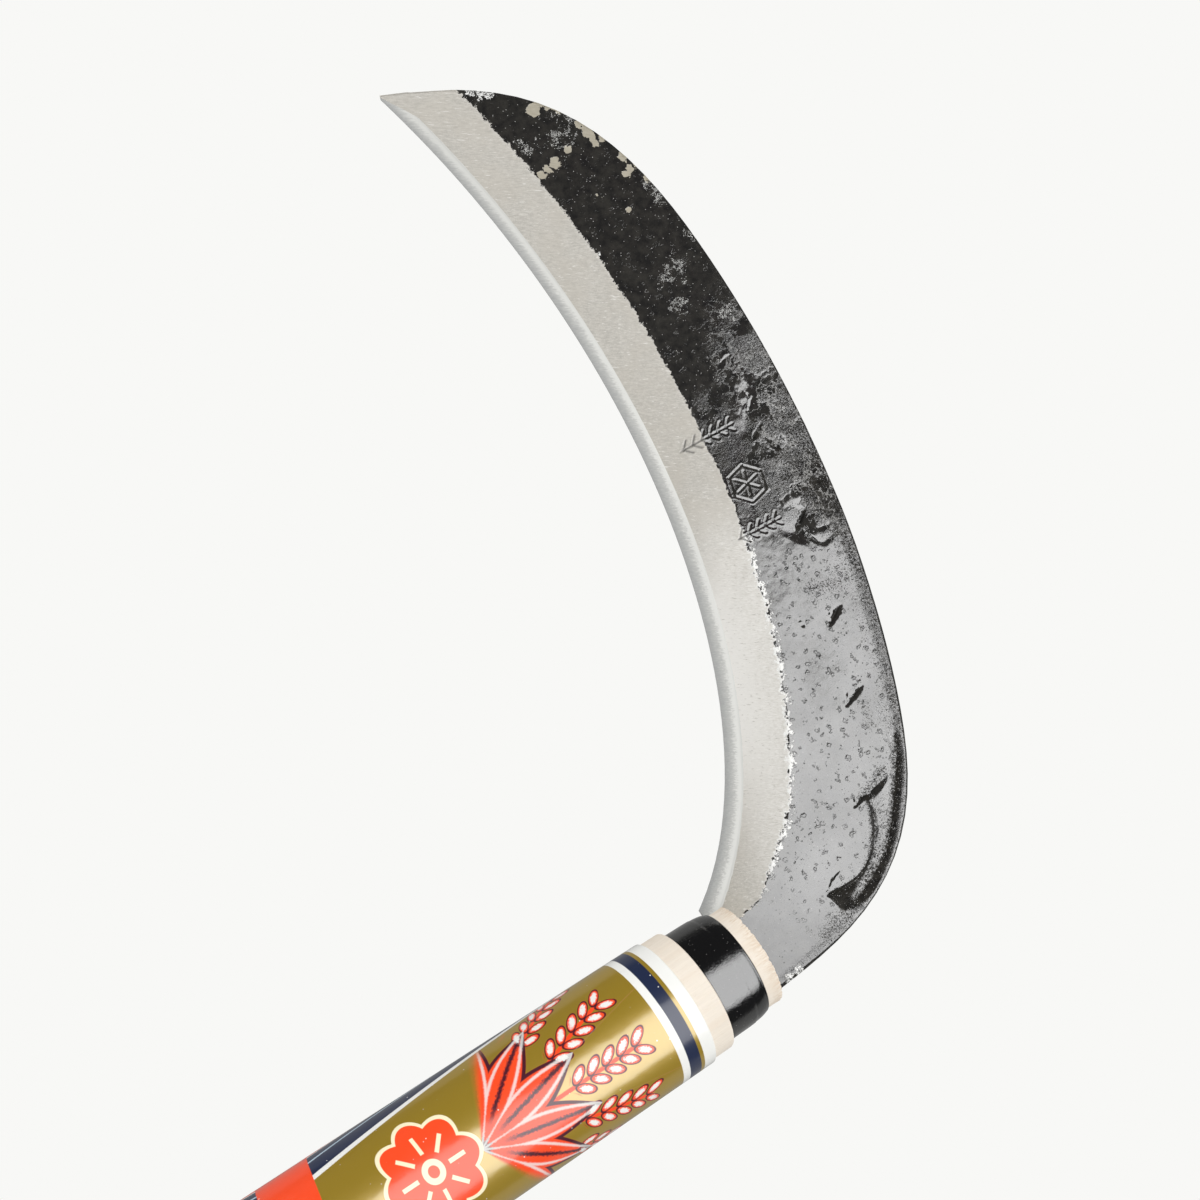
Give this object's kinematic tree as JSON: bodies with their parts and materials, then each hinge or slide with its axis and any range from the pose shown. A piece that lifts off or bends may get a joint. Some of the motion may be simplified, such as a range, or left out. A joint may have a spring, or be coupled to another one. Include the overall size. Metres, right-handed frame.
{
  "type": "hand sickle",
  "caption": "Forged hand sickle with a broad curved single-bevel blade, its tang set in an oval wooden handle with a black ferrule and a printed film label.",
  "frame": {"origin": "centre of the flat butt face at the rear end of the wooden handle", "axes": "+X along the handle towards the blade, +Y the side the blade reaches out to, +Z out of the blade's bevelled face"},
  "size_m": [0.4575, 0.2047, 0.0288],
  "materials": {
    "forged_iron": "black forge scale over soft iron, ground bright on the bevel",
    "ground_steel": "honed hard steel",
    "bare_wood": "pale, sanded, unvarnished",
    "black_lacquer": "glossy black enamel",
    "printed_film": "glossy printed shrink film, olive gold with navy and white bands",
    "pin_steel": "plain steel"
  },
  "bodies": {
    "root": {"blade_body": "forged_iron", "edge_steel": "ground_steel", "handle": "bare_wood", "ferrule": "black_lacquer", "label_sleeve": "printed_film", "front_tang_pin": "pin_steel", "rear_tang_pin": "pin_steel"}
  },
  "joints": []
}
